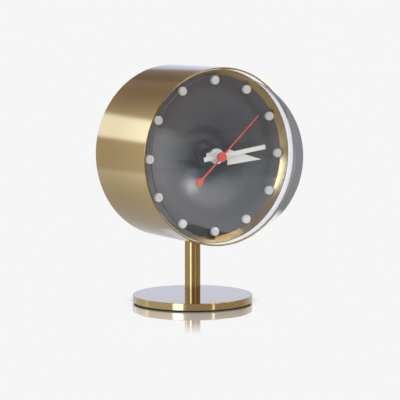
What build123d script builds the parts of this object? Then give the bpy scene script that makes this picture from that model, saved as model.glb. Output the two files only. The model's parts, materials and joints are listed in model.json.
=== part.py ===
from build123d import *
import os
from math import atan2, cos, degrees, radians, sin

# Desk clock: a brass drum on a stem and a round foot, with a domed lens over a bell-mouthed dial.
# All sizes are millimetres. +Z is up, the dial faces -Y, and the origin is on the table under the stem.

# Foot and stem
foot_radius = 36.2
foot_thickness = 4.3
foot_edge_round = 0.4
pad_inset = 1.4
pad_thickness = 0.65
stem_radius = 4.7
axis_height = 90.4

# Drum
drum_radius = 52.5
drum_wall = 0.8
drum_front = 32.3
drum_length = 57.3
drum_rear_round = 0.5

# Lens and the ring that carries it
lens_rim_width = 3.2
lens_wall = 2.0
lens_flange_set_back = 0.2
lens_flange_thickness = 5.3
lens_straight = 2.4
lens_rise_share = 0.8515
lens_flank_share = 0.742
bezel_length = 3.5
bezel_front_width = 0.8
bezel_rear_width = 4.0

# Dial and its markers
dial_thickness = 0.8
dial_overlap = 3.3
dial_rim_width = 1.7
dial_depth = 11.5
dial_centre_radius = 7.0
marker_inset = 3.0
marker_radius = 2.6
marker_height = 2.6
marker_edge = 0.5
marker_pin_radius = 0.7
marker_count = 12

# Pillars and rear plate
pillar_radius = 2.5
pillar_inset = 3.1
pillar_count = 3
rear_plate_thickness = 1.5
rear_plate_step = 0.6

# Screws
stem_screw_radius = 1.5
stem_screw_head_radius = 2.7
stem_screw_head = 2.0
saddle_radius = 2.95
saddle_thickness = 0.8
foot_screw_radius = 2.0
foot_screw_head_radius = 4.0
foot_screw_head = 2.0
screw_engagement_share = 0.3
plate_screw_radius = 1.2
plate_screw_head_radius = 2.2
plate_screw_head = 1.5
plate_screw_length = 7.0
slot_width = 0.7
slot_depth = 0.6

# Fits
press_gap = 0.02
running_gap = 0.05
loose_gap = 0.3
overrun = 1.0

# Movement box, with the battery bay below the train
box_corner = 2.0
box_wall = 1.2
box_inside = 12.6
contact_room = 1.55
bay_gap = 0.55
train_margin = 0.85
post_radius = 1.5
post_places_share = ((-0.36, -0.24), (0.36, -0.24), (0.23, 0.38))

# Centre fixing
bush_radius = 4.0
bush_flange_radius = 5.5
bush_flange = 0.5
bush_length = 11.2
washer_radius = 6.5
washer_thickness = 0.5
nut_across_flats = 11.0
nut_sides = 6
nut_thickness = 2.5

# Shafts, from the inside out
second_shaft_radius = 0.6
cannon_radius = 1.6
hour_pipe_radius = 2.5
arbor_radius = 0.6
pivot_length = 0.6
stud_radius = 0.75
knob_shaft_radius = 1.5

# Gear train: module of the driving mesh on each arbor, and teeth
motion_module = 0.4
third_module = 0.36
fifth_module = 0.34
rotor_module = 0.3
hour_teeth = 40
minute_pinion_teeth = 10
cannon_teeth = 12
minute_wheel_teeth = 36
centre_teeth = 64
third_pinion_teeth = 8
third_teeth = 60
second_pinion_teeth = 8
second_teeth = 50
fifth_pinion_teeth = 10
fifth_teeth = 48
rotor_pinion_teeth = 8
set_pinion_teeth = 12
addendum_share = 0.8
dedendum_share = 1.15
tooth_root_share = 0.56
tooth_tip_share = 0.16
wheel_thickness = 0.8
pinion_thickness = 1.1
layer_pitch = 1.55
train_front_gap = 0.4
middle_plate_thickness = 1.0
middle_margin = 3.0
middle_head_margin = 2.25
middle_relief_margin = 6.0
minute_angle = 0.0
third_angle = 150.0
fifth_angle = 60.0
rotor_angle = 100.0
knob_angle = 30.0
clutch_radius = 2.6
clutch_thickness = 0.25

# Motor, board and cell
magnet_radius = 3.0
stator_thickness = 1.0
stator_pole_radius = 5.4
stator_air_gap = 0.5
stator_arm = 2.4
stator_length = 25.0
coil_rise = 4.2
coil_radius = 3.2
coil_length = 13.0
core_width = 2.4
core_thickness = 1.0
core_length = 20.0
board_width = 11.0
board_height = 14.5
board_thickness = 1.0
board_corner_gap = 0.8
crystal_radius = 1.0
crystal_length = 6.0
cell_radius = 7.25
cell_length = 50.5
cell_button_radius = 2.6
cell_button = 1.0
cell_edge_round = 0.5
contact_thickness = 0.4
contact_width = 9.0
contact_height = 9.0
contact_tongue = 3.0
knob_radius = 7.0
knob_thickness = 4.0
knob_stand_off = 0.4
knob_flute_radius = 0.6
knob_flutes = 20

# Hands
hand_thickness = 0.5
hour_hand_set_back = 4.6
hour_hub_radius = 4.5
hour_hub_length = 2.4
hour_reach_share = 0.698
hour_wedge_start = 7.4
hour_wedge_width = 9.4
hour_bar_width = 3.2
hour_tail_share = 0.17
minute_hand_set_back = 2.4
minute_hub_radius = 3.0
minute_hub_length = 1.4
minute_reach_share = 0.734
minute_bar_width = 2.7
minute_tail_share = 0.2394
second_hub_radius = 2.8
second_hub_length = 1.7
second_hub_stand = 1.1
second_reach_share = 0.783
second_needle_width = 1.0
second_point_width = 0.6
second_tail_share = 0.5235
drop_radius = 2.0
drop_length = 6.5
hour_hand_angle = 95.6
minute_hand_angle = 82.1
second_hand_angle = 47.5

# Radii that follow from the drum and the foot
drum_inner = drum_radius - drum_wall
pad_radius = foot_radius - pad_inset
lens_radius = drum_inner - lens_rim_width
lens_rise = lens_rise_share * lens_radius
lens_flank = lens_flank_share * lens_radius
bezel_front_radius = drum_inner - bezel_front_width
bezel_rear_radius = drum_inner - bezel_rear_width
dial_flat_radius = bezel_rear_radius - dial_rim_width
marker_circle_radius = bezel_rear_radius - marker_inset
pillar_circle_radius = drum_inner - pillar_inset

# Heights along the dial axis, measured forward from the stem
drum_rear = drum_front - drum_length
lens_flange_front = drum_front - lens_flange_set_back
lens_seat = lens_flange_front - lens_flange_thickness
lens_spring = drum_front + lens_straight
dial_front = lens_seat - bezel_length
dial_pit = dial_front - dial_depth
box_front = dial_pit - dial_thickness
train_front = box_front - box_wall
train_rear = train_front - box_inside
lid_rear = train_rear - box_wall
plate_front = train_rear - rear_plate_step
plate_rear = plate_front - rear_plate_thickness

# Layers of the train, each named by its front face
hour_layer = train_front - train_front_gap
motion_layer = hour_layer - layer_pitch
centre_layer = motion_layer - layer_pitch
third_layer = centre_layer - layer_pitch
middle_front = third_layer - layer_pitch
middle_rear = middle_front - middle_plate_thickness
second_layer = middle_rear - train_front_gap
fifth_layer = second_layer - layer_pitch

# Centre distances and the modules that share them
motion_distance = motion_module * (cannon_teeth + minute_wheel_teeth) / 2
setting_distance = motion_module * (set_pinion_teeth + minute_wheel_teeth) / 2
hour_module = 2 * motion_distance / (hour_teeth + minute_pinion_teeth)
third_distance = third_module * (third_teeth + second_pinion_teeth) / 2
centre_module = 2 * third_distance / (centre_teeth + third_pinion_teeth)
fifth_distance = fifth_module * (second_teeth + fifth_pinion_teeth) / 2
rotor_distance = rotor_module * (fifth_teeth + rotor_pinion_teeth) / 2

dial_plane = Plane(origin=(0, 0, axis_height), x_dir=(1, 0, 0), z_dir=(0, -1, 0))
stand = (Align.CENTER, Align.CENTER, Align.MIN)


def polar(distance, angle, start=(0, 0)):
    """A point at a distance and an angle, counted from +X, from a start point."""
    return (start[0] + distance * cos(radians(angle)), start[1] + distance * sin(radians(angle)))


minute_wheel_place = polar(motion_distance, minute_angle)
knob_place = polar(setting_distance, knob_angle, minute_wheel_place)
third_place = polar(third_distance, third_angle)
fifth_place = polar(fifth_distance, fifth_angle)
rotor_place = polar(rotor_distance, rotor_angle, fifth_place)

# Inside walls of the movement box: the train and coil set its top, the cell its sides and bottom
coil_centre_y = rotor_place[1] + coil_rise
box_top = coil_centre_y + coil_radius + loose_gap
train_bottom = -centre_module * (centre_teeth / 2 + addendum_share) - train_margin
train_room = box_top - train_bottom
bay_top = train_bottom - box_wall
box_bottom = bay_top - 2 * (cell_radius + bay_gap)
box_right = cell_length / 2 + contact_room
box_left = -box_right
box_width = 2 * (box_right + box_wall)
box_height = box_top - box_bottom + 2 * box_wall
box_centre_y = (box_top + box_bottom) / 2


def rod(radius, low, high, place=(0, 0)):
    """A round bar along the dial axis between two heights."""
    return Pos(place[0], place[1], low) * Cylinder(radius, high - low, align=stand)


def tube(outer, inner, low, high, place=(0, 0)):
    """A round tube along the dial axis between two heights."""
    return rod(outer, low, high, place) - rod(inner, low - overrun, high + overrun, place)


def slab(sketch, low, high):
    """A flat outline given thickness between two heights."""
    return extrude(Pos(0, 0, low) * sketch, high - low)


def block(left, right, bottom, top, low, high):
    """A rectangular block given by its six faces."""
    sketch = Pos((left + right) / 2, (bottom + top) / 2) * Rectangle(right - left, top - bottom)
    return slab(sketch, low, high)


def outline(*points):
    """A flat face with straight sides."""
    return make_face(Polyline(*points, close=True))


def turned(*points):
    """A straight-sided section, as radius and height, turned about the dial axis."""
    return revolve(Plane.XZ * outline(*points), Axis.Z)


def gear(teeth, module, front, thickness, place, toward, gap_there, bore=0.0):
    """A straight-flanked wheel with a tooth, or a gap, in the direction of its partner."""
    pitch_radius = module * teeth / 2
    tip = pitch_radius + addendum_share * module
    root = pitch_radius - dedendum_share * module
    step = 360 / teeth
    start = toward + (step / 2 if gap_there else 0)
    points = []
    for tooth in range(teeth):
        centre = start + tooth * step
        for radius, share in ((root, -tooth_root_share), (tip, -tooth_tip_share),
                              (tip, tooth_tip_share), (root, tooth_root_share)):
            points.append(polar(radius, centre + share * step / 2, place))
    wheel = slab(outline(*points), front - thickness, front)
    if bore:
        wheel -= rod(bore, front - thickness - overrun, front + overrun, place)
    return wheel


def slotted(head, width, top, reach):
    """A screw head with a straight driver slot in its top face."""
    return head - block(-reach, reach, -width / 2, width / 2, top - slot_depth, top + overrun)


def hand_at(shape, angle):
    """Turn a hand that points to twelve clockwise to its place on the dial."""
    return Rot(0, 0, -angle) * shape


def in_drum(shape):
    """Carry a piece modelled about the dial axis into the drum."""
    return dial_plane.location * shape


os.makedirs("parts", exist_ok=True)


def save(shape, name):
    """Write one piece, or one group of alike pieces, as its own node."""
    export_step(shape, os.path.join("parts", name + ".step"))


# Foot: a solid disc, screwed to the stem from below, on a thin pad
foot_top = pad_thickness + foot_thickness
foot_screw_seat = pad_thickness + press_gap
stem_top = axis_height - drum_radius
screw_engagement = screw_engagement_share * (stem_top - foot_top)
foot_screw_tip = foot_top + screw_engagement
foot = Pos(0, 0, pad_thickness) * Cylinder(foot_radius, foot_thickness, align=stand)
foot = fillet(foot.edges().filter_by(GeomType.CIRCLE), foot_edge_round)
foot_hole = rod(foot_screw_radius + running_gap, 0, foot_top + overrun)
foot_sink = Pos(0, 0, pad_thickness) * Cone(
    foot_screw_head_radius + running_gap, foot_screw_radius + running_gap, foot_screw_head, align=stand)
save(foot - foot_hole - foot_sink, "base_disc")

pad = rod(pad_radius, 0, pad_thickness)
save(pad, "base_pad")

foot_screw = Pos(0, 0, foot_screw_seat) * Cone(
    foot_screw_head_radius, foot_screw_radius, foot_screw_head - press_gap, align=stand)
foot_screw += rod(foot_screw_radius, pad_thickness + foot_screw_head, foot_screw_tip)
foot_screw -= block(-foot_screw_head_radius, foot_screw_head_radius, -slot_width / 2, slot_width / 2,
                    0, foot_screw_seat + slot_depth)
save(foot_screw, "base_screw")

# Stem: a round bar whose top is coped to the drum, tapped at both ends
stem = rod(stem_radius, foot_top, axis_height)
drum_core = in_drum(rod(drum_radius + press_gap, -drum_radius, drum_radius))
stem -= drum_core
stem -= rod(foot_screw_radius + running_gap, foot_top - overrun, foot_screw_tip + overrun)
stem_screw_top = axis_height - drum_inner + saddle_thickness
stem_screw_tip = stem_top - screw_engagement
stem -= rod(stem_screw_radius + running_gap, stem_screw_tip - overrun, axis_height)
save(stem, "stem")

stem_screw = slotted(rod(stem_screw_head_radius, stem_screw_top, stem_screw_top + stem_screw_head),
                     slot_width, stem_screw_top + stem_screw_head, stem_screw_head_radius)
stem_screw += rod(stem_screw_radius, stem_screw_tip, stem_screw_top)
save(stem_screw, "stem_screw")

saddle = rod(saddle_radius, axis_height - drum_radius, stem_screw_top)
saddle &= in_drum(rod(drum_inner - press_gap, -saddle_radius, saddle_radius))
saddle -= rod(stem_screw_radius + running_gap, 0, axis_height)
save(saddle, "saddle_washer")

# Drum: a thin tube, open behind, with its rear edge eased
drum = tube(drum_radius, drum_inner, drum_rear, drum_front)
rear_edge = drum.edges().filter_by(GeomType.CIRCLE).group_by(Axis.Z)[0].sort_by(SortBy.RADIUS)[-1]
drum = in_drum(fillet(rear_edge, drum_rear_round))
drum -= rod(stem_screw_radius + running_gap, 0, axis_height)
save(drum, "drum_case")

# Lens: a clear dome of even wall, rounder at its flank than at its crown, with a flange in the drum's mouth
lens_span_square = (lens_radius ** 2 + lens_rise ** 2) / 2
lens_crown_radius = (lens_span_square - lens_radius * lens_flank) / (lens_rise - lens_flank)
lens_crown = lens_spring + lens_rise
lens_crown_centre = lens_crown - lens_crown_radius
lens_flank_angle = degrees(atan2(lens_spring - lens_crown_centre, lens_radius - lens_flank))
lens_crown_angle = 90 - lens_flank_angle
lens_bore = lens_radius - lens_wall
lens_flange_radius = drum_inner - loose_gap
lens_section = make_face([
    Line((lens_bore, lens_seat), (lens_flange_radius, lens_seat)),
    Line((lens_flange_radius, lens_seat), (lens_flange_radius, lens_flange_front)),
    Line((lens_flange_radius, lens_flange_front), (lens_radius, lens_flange_front)),
    Line((lens_radius, lens_flange_front), (lens_radius, lens_spring)),
    CenterArc((lens_radius - lens_flank, lens_spring), lens_flank, 0, lens_flank_angle),
    CenterArc((0, lens_crown_centre), lens_crown_radius, lens_flank_angle, lens_crown_angle),
    Line((0, lens_crown), (0, lens_crown - lens_wall)),
    CenterArc((0, lens_crown_centre), lens_crown_radius - lens_wall, lens_flank_angle, lens_crown_angle),
    CenterArc((lens_radius - lens_flank, lens_spring), lens_flank - lens_wall, 0, lens_flank_angle),
    Line((lens_bore, lens_spring), (lens_bore, lens_seat)),
])
lens = revolve(Plane.XZ * lens_section, Axis.Z)
save(in_drum(lens), "lens")

# Bezel ring: pressed into the drum, with a flared bore between the dial and the lens
bezel_outer = drum_inner - press_gap
bezel = turned((bezel_rear_radius, dial_front), (bezel_outer, dial_front),
               (bezel_outer, lens_seat), (bezel_front_radius, lens_seat))
save(in_drum(bezel), "bezel_ring")

# Dial: a spun sheet, flat under the markers and bell-mouthed down to the centre
dial_radius = bezel_rear_radius + dial_overlap
dial_back = dial_front - dial_thickness
bore_radius = bush_radius + running_gap
face_arc = TangentArc((dial_flat_radius, dial_front), (dial_centre_radius, dial_pit), tangent=(-1, 0))
back_arc = TangentArc((dial_flat_radius, dial_back), (dial_centre_radius, box_front), tangent=(-1, 0))
dial_section = make_face([
    Line((dial_radius, dial_front), (dial_flat_radius, dial_front)),
    face_arc,
    Line((dial_centre_radius, dial_pit), (bore_radius, dial_pit)),
    Line((bore_radius, dial_pit), (bore_radius, box_front)),
    Line((bore_radius, box_front), (dial_centre_radius, box_front)),
    back_arc,
    Line((dial_flat_radius, dial_back), (dial_radius, dial_back)),
    Line((dial_radius, dial_back), (dial_radius, dial_front)),
])
dial = revolve(Plane.XZ * dial_section, Axis.Z)
marker_places = [polar(marker_circle_radius, 360 * hour / marker_count) for hour in range(marker_count)]
for place in marker_places:
    dial -= rod(marker_pin_radius + running_gap, dial_back - overrun, dial_front + overrun, place)
save(in_drum(dial), "dial")

markers = []
for place in marker_places:
    marker = rod(marker_radius, dial_front, dial_front + marker_height, place)
    marker = chamfer(marker.edges().group_by(Axis.Z)[-1], marker_edge)
    markers.append(marker + rod(marker_pin_radius, dial_back, dial_front, place))
save(in_drum(Compound(children=markers)), "hour_dots")

# Pillars between the dial and the rear plate, and the screws that draw them together
pillar_step = 360 / pillar_count
pillar_places = [polar(pillar_circle_radius, 90 + pillar * pillar_step) for pillar in range(pillar_count)]
screw_hole = plate_screw_radius + running_gap
pillars = []
plate_screws = []
for place in pillar_places:
    hole = rod(screw_hole, plate_front - overrun, plate_rear + plate_screw_length + overrun, place)
    pillars.append(rod(pillar_radius, plate_front, dial_back, place) - hole)
    head = rod(plate_screw_head_radius, plate_rear - plate_screw_head, plate_rear, place)
    head -= Pos(place[0], place[1]) * block(
        -plate_screw_head_radius, plate_screw_head_radius, -slot_width / 2, slot_width / 2,
        plate_rear - plate_screw_head - overrun, plate_rear - plate_screw_head + slot_depth)
    plate_screws.append(head + rod(plate_screw_radius, plate_rear, plate_rear + plate_screw_length, place))
save(in_drum(Compound(children=pillars)), "pillars")
save(in_drum(Compound(children=plate_screws)), "back_plate_screws")

plate = rod(drum_inner - loose_gap, plate_rear, plate_front)
window = RectangleRounded(box_width + 2 * loose_gap, box_height + 2 * loose_gap, box_corner + loose_gap)
plate -= slab(Pos(0, box_centre_y) * window, plate_rear - overrun, plate_front + overrun)
for place in pillar_places:
    plate -= rod(screw_hole, plate_rear - overrun, plate_front + overrun, place)
stem_screw_room = rod(stem_screw_head_radius + loose_gap, 0, stem_screw_top + stem_screw_head + loose_gap)
save(in_drum(plate) - stem_screw_room, "back_plate")

# Movement box: a moulded tray whose floor is the front wall, with posts and a stud for the train
box_outline = Pos(0, box_centre_y) * RectangleRounded(box_width, box_height, box_corner)
tray = slab(box_outline, train_rear, box_front)
tray -= block(box_left, box_right, train_bottom, box_top, train_rear - overrun, train_front)
tray -= block(box_left, box_right, box_bottom, bay_top, train_rear - overrun, train_front)
post_places = [(x * box_width, y * train_room) for x, y in post_places_share]
for place in post_places:
    tray += rod(post_radius, middle_front, train_front, place)
tray += rod(stud_radius, motion_layer - layer_pitch + running_gap, train_front, minute_wheel_place)
tray -= rod(bush_radius + press_gap, train_front - overrun, box_front + overrun)
tray -= rod(bush_flange_radius + press_gap, train_front - overrun, train_front + bush_flange)
pivot_front = train_front + pivot_length
for place, radius in ((third_place, arbor_radius), (knob_place, knob_shaft_radius)):
    tray -= rod(radius + running_gap, train_front - overrun, pivot_front + running_gap, place)
save(in_drum(tray), "movement_tray")

lid = block(box_left - box_wall, box_right + box_wall, bay_top, box_top + box_wall, lid_rear, train_rear)
lid_corners = lid.edges().filter_by(Axis.Z).group_by(Axis.Y)[-1]
lid = fillet(lid_corners, box_corner)
lid -= rod(knob_shaft_radius + running_gap, lid_rear - overrun, train_rear + overrun, knob_place)
pivot_rear = train_rear - pivot_length
for place in ((0, 0), fifth_place, rotor_place):
    lid -= rod(arbor_radius + running_gap, pivot_rear - running_gap, train_rear + overrun, place)
save(in_drum(lid), "movement_lid")

# Middle plate between the hand train and the motor train, relieved round the coil
plate_side = post_places[1][0] + middle_margin
plate_foot = train_bottom + loose_gap
plate_head = rotor_place[1] + middle_head_margin
relief_edge = rotor_place[0] - middle_relief_margin
relief_bottom = coil_centre_y - coil_radius - loose_gap
middle = block(-plate_side, plate_side, plate_foot, plate_head, middle_rear, middle_front)
middle -= block(-plate_side - overrun, relief_edge, relief_bottom, plate_head + overrun,
                middle_rear - overrun, middle_front + overrun)
second_pinion_tip = third_module * (second_pinion_teeth / 2 + addendum_share)
middle -= rod(second_pinion_tip + loose_gap, middle_rear - overrun, middle_front + overrun)
middle -= rod(knob_shaft_radius + running_gap, middle_rear - overrun, middle_front + overrun, knob_place)
for place in (third_place, fifth_place, rotor_place):
    middle -= rod(arbor_radius + running_gap, middle_rear - overrun, middle_front + overrun, place)
save(in_drum(middle), "middle_plate")

# Centre fixing: the bush stands through tray and dial, and its nut clamps them
bush = tube(bush_radius, hour_pipe_radius + running_gap, train_front, train_front + bush_length)
bush += tube(bush_flange_radius, hour_pipe_radius + running_gap, train_front, train_front + bush_flange)
save(in_drum(bush), "threaded_bush")

washer = tube(washer_radius, bush_radius + running_gap, dial_pit, dial_pit + washer_thickness)
save(in_drum(washer), "dial_washer")

nut_rear = dial_pit + washer_thickness
nut_front = nut_rear + nut_thickness
nut = slab(RegularPolygon(nut_across_flats / 2, nut_sides, major_radius=False), nut_rear, nut_front)
nut -= rod(bush_radius + press_gap, nut_rear - overrun, nut_front + overrun)
save(in_drum(nut), "dial_nut")

# Hands: three plates on their hubs, at rest a little after a quarter past three
hour_front = drum_front - hour_hand_set_back
minute_front = drum_front - minute_hand_set_back
second_front = drum_front + second_hub_stand
hour_reach = hour_reach_share * marker_circle_radius
hour_tail = hour_tail_share * marker_circle_radius
minute_reach = minute_reach_share * marker_circle_radius
minute_tail = minute_tail_share * marker_circle_radius
second_reach = second_reach_share * marker_circle_radius
second_tail = second_tail_share * marker_circle_radius
hour_plate = Rectangle(hour_bar_width, hour_tail + hour_wedge_start)
hour_plate = Pos(0, (hour_wedge_start - hour_tail) / 2) * hour_plate
hour_plate += outline((-hour_wedge_width / 2, hour_wedge_start), (hour_wedge_width / 2, hour_wedge_start),
                      (0, hour_reach))
hour_hand = slab(hour_plate, hour_front - hand_thickness, hour_front)
hour_hand += rod(hour_hub_radius, hour_front - hour_hub_length, hour_front)
hour_hand -= rod(hour_pipe_radius + press_gap, 0, hour_front - hand_thickness)
hour_hand -= rod(cannon_radius + running_gap, 0, hour_front + overrun)
save(in_drum(hand_at(hour_hand, hour_hand_angle)), "hour_hand")

minute_plate = Pos(0, (minute_reach - minute_tail) / 2) * Rectangle(
    minute_bar_width, minute_reach + minute_tail)
minute_hand = slab(minute_plate, minute_front - hand_thickness, minute_front)
minute_hand += rod(minute_hub_radius, minute_front - minute_hub_length, minute_front)
minute_hand -= rod(cannon_radius + press_gap, 0, minute_front + overrun)
save(in_drum(hand_at(minute_hand, minute_hand_angle)), "minute_hand")

needle_rear = second_front - (second_hub_length + hand_thickness) / 2
drop_centre = drop_radius - second_tail
drop_neck = drop_centre + drop_length - drop_radius
needle = outline((-second_needle_width / 2, drop_centre), (second_needle_width / 2, drop_centre),
                 (second_point_width / 2, second_reach), (-second_point_width / 2, second_reach))
drop = Pos(0, drop_centre) * Circle(drop_radius)
drop += outline((-drop_radius, drop_centre), (drop_radius, drop_centre), (0, drop_neck + drop_radius))
second_hand = slab(needle + drop, needle_rear, needle_rear + hand_thickness)
second_hand += rod(second_hub_radius, second_front - second_hub_length, second_front)
second_hand -= rod(second_shaft_radius + press_gap, 0, needle_rear + hand_thickness)
save(in_drum(hand_at(second_hand, second_hand_angle)), "second_hand")

# Hand train: hour wheel and pipe, cannon pinion and arbor, minute wheel, setting knob
hour_wheel = gear(hour_teeth, hour_module, hour_layer, wheel_thickness, (0, 0), minute_angle, True,
                  cannon_radius + running_gap)
hour_wheel += tube(hour_pipe_radius, cannon_radius + running_gap, hour_layer - wheel_thickness,
                   hour_front - hand_thickness - press_gap)
save(in_drum(hour_wheel), "hour_wheel")

cannon_rear = centre_layer - pinion_thickness - running_gap
cannon = gear(cannon_teeth, motion_module, motion_layer, pinion_thickness, (0, 0), minute_angle, True)
cannon += rod(cannon_radius, cannon_rear, minute_front)
cannon -= rod(second_shaft_radius + running_gap, cannon_rear - overrun, minute_front + overrun)
save(in_drum(cannon), "cannon_pinion")

minute_wheel = gear(minute_wheel_teeth, motion_module, motion_layer, wheel_thickness,
                    minute_wheel_place, minute_angle + 180, False)
minute_wheel += gear(minute_pinion_teeth, hour_module, hour_layer, hour_layer - motion_layer + press_gap,
                     minute_wheel_place, minute_angle + 180, False)
minute_wheel -= rod(stud_radius + running_gap, motion_layer - layer_pitch, train_front, minute_wheel_place)
save(in_drum(minute_wheel), "minute_wheel")

knob_front = lid_rear - knob_stand_off
knob = rod(knob_radius, knob_front - knob_thickness, knob_front, knob_place)
for flute in range(knob_flutes):
    groove = polar(knob_radius, 360 * flute / knob_flutes, knob_place)
    knob -= rod(knob_flute_radius, knob_front - knob_thickness - overrun, knob_front + overrun, groove)
knob += rod(knob_shaft_radius, knob_front, pivot_front, knob_place)
knob += gear(set_pinion_teeth, motion_module, motion_layer, pinion_thickness,
             knob_place, knob_angle + 180, True)
save(in_drum(knob), "set_knob")

# Friction clutch: the centre wheel is gripped on the cannon arbor by a dished washer
clutch_front = motion_layer - pinion_thickness - running_gap
clutch = tube(clutch_radius, cannon_radius + press_gap, clutch_front - clutch_thickness, clutch_front)
save(in_drum(clutch), "clutch_washer")

centre_wheel = gear(centre_teeth, centre_module, centre_layer, wheel_thickness, (0, 0), third_angle, True,
                    cannon_radius + running_gap)
save(in_drum(centre_wheel), "centre_wheel")

# Going train: third wheel, second wheel and shaft, fifth wheel, rotor
third_wheel = gear(third_pinion_teeth, centre_module, centre_layer, centre_layer - third_layer + press_gap,
                   third_place, third_angle + 180, False)
third_wheel += gear(third_teeth, third_module, third_layer, wheel_thickness,
                    third_place, third_angle + 180, True)
third_wheel += rod(arbor_radius, middle_rear, pivot_front, third_place)
save(in_drum(third_wheel), "third_wheel")

second_wheel = gear(second_pinion_teeth, third_module, third_layer, pinion_thickness,
                    (0, 0), third_angle, False)
second_wheel += gear(second_teeth, fifth_module, second_layer, wheel_thickness, (0, 0), fifth_angle, True)
second_wheel += rod(second_shaft_radius, pivot_rear, needle_rear + hand_thickness - press_gap)
save(in_drum(second_wheel), "second_wheel")

fifth_wheel = gear(fifth_pinion_teeth, fifth_module, second_layer, second_layer - fifth_layer + press_gap,
                   fifth_place, fifth_angle + 180, False)
fifth_wheel += gear(fifth_teeth, rotor_module, fifth_layer, wheel_thickness, fifth_place, rotor_angle, True)
fifth_wheel += rod(arbor_radius, pivot_rear, middle_front, fifth_place)
save(in_drum(fifth_wheel), "fifth_wheel")

rotor = gear(rotor_pinion_teeth, rotor_module, fifth_layer, pinion_thickness,
             rotor_place, rotor_angle + 180, False)
rotor += rod(magnet_radius, fifth_layer + running_gap, second_layer, rotor_place)
rotor += rod(arbor_radius, pivot_rear, middle_front, rotor_place)
save(in_drum(rotor), "rotor")

# Motor: a stator with two arms, and a coil whose core bridges their ends
stator_front = middle_rear
stator_rear = stator_front - stator_thickness
stator_left = rotor_place[0] - stator_length
arm_bottom = rotor_place[1] - stator_arm
bridge_top = coil_centre_y + stator_arm / 2
stator = rod(stator_pole_radius, stator_rear, stator_front, rotor_place)
stator += block(stator_left, rotor_place[0], arm_bottom, arm_bottom + stator_arm, stator_rear, stator_front)
stator += block(stator_left, stator_left + stator_arm, arm_bottom, bridge_top, stator_rear, stator_front)
stator += block(rotor_place[0] - stator_pole_radius, rotor_place[0], rotor_place[1], bridge_top,
                stator_rear, stator_front)
stator -= rod(magnet_radius + stator_air_gap, stator_rear - overrun, stator_front + overrun, rotor_place)
save(in_drum(stator), "stator")

core_centre = (stator_left + rotor_place[0] - stator_pole_radius + stator_arm) / 2
core = block(core_centre - core_length / 2, core_centre + core_length / 2,
             coil_centre_y - core_width / 2, coil_centre_y + core_width / 2,
             stator_front, stator_front + core_thickness)
save(in_drum(core), "coil_core")

coil_axis = stator_front + core_thickness / 2
coil = Pos(core_centre, coil_centre_y, coil_axis) * Rot(0, 90, 0) * Cylinder(coil_radius, coil_length)
coil -= Pos(core_centre, coil_centre_y, coil_axis) * Box(
    coil_length + overrun, core_width + 2 * press_gap, core_thickness + 2 * press_gap)
save(in_drum(coil), "coil")

# Circuit board on the lid, with its crystal
board_right = box_right - board_corner_gap
board_top = box_top - board_corner_gap
board_front = train_rear + board_thickness
board = block(board_right - board_width, board_right, board_top - board_height, board_top,
              train_rear, board_front)
save(in_drum(board), "circuit_board")

crystal_place = (board_right - board_width / 2, board_top - board_height / 2)
crystal = Pos(crystal_place[0], crystal_place[1], board_front + crystal_radius) * Rot(90, 0, 0) * Cylinder(
    crystal_radius, crystal_length)
save(in_drum(crystal), "quartz_crystal")

# Cell in its bay between two sprung contacts
cell_axis_y = (box_bottom + bay_top) / 2
cell_axis = train_front - loose_gap - cell_radius
cell_place = Pos(0, cell_axis_y, cell_axis) * Rot(0, 90, 0)
cell = Cylinder(cell_radius, cell_length - cell_button)
cell = fillet(cell.edges().filter_by(GeomType.CIRCLE), cell_edge_round)
cell = Pos(0, 0, -cell_button / 2) * cell
cell += Pos(0, 0, (cell_length - cell_button) / 2) * Cylinder(cell_button_radius, cell_button)
save(in_drum(cell_place * cell), "battery")

spring_reach = box_right - cell_length / 2 - 2 * running_gap
for side, name in ((1, "contact_plus"), (-1, "contact_minus")):
    back = box_right - running_gap
    leaf = Box(contact_thickness, contact_width, contact_height)
    contact = Pos(side * (back - contact_thickness / 2)) * leaf
    contact += Pos(side * (back - spring_reach / 2)) * Box(spring_reach, contact_tongue, contact_tongue)
    save(in_drum(Pos(0, cell_axis_y, cell_axis) * contact), name)
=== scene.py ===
# %% [markdown]
# # A brass desk clock
# A brushed brass drum lies on a short stem and a round foot. A clear dome closes its mouth, and behind the
# dome a brass ring frames a dark, bell-mouthed dial with raised dots and three hands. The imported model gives
# every piece its place, so this lesson dresses those pieces: smoother shells where the light needs them, and
# a finish for each surface.

# %% Load the frame
import json
from math import atan2, cos, pi, radians, sin

import bmesh
import bpy
from mathutils import Matrix, Vector


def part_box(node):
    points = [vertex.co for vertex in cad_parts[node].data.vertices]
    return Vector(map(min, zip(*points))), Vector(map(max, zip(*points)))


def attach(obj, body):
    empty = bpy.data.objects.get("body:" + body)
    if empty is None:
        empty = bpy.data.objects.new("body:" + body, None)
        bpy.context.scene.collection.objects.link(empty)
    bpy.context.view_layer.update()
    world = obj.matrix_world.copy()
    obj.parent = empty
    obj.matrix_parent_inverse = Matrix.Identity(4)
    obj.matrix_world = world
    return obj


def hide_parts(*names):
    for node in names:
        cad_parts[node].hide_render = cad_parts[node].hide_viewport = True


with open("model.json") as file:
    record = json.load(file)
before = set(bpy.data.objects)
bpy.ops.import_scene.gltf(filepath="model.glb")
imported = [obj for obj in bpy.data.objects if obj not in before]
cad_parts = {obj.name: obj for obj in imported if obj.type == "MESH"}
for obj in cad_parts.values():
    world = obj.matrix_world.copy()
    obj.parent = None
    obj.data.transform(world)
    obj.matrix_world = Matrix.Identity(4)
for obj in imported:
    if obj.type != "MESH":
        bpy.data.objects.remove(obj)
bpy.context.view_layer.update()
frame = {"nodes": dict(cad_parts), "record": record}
scene = bpy.context.scene
scene.view_settings.view_transform = "Standard"

# %% [markdown]
# ## Camera
# The camera was matched to the outlines of foot, stem, drum and dots. It stands to the left of the dial and
# a little above it, far away behind a long lens, so the drum keeps nearly parallel sides. Two small slides
# bring the clock to its place in the picture, with no lens shift to upset other views.

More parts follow.
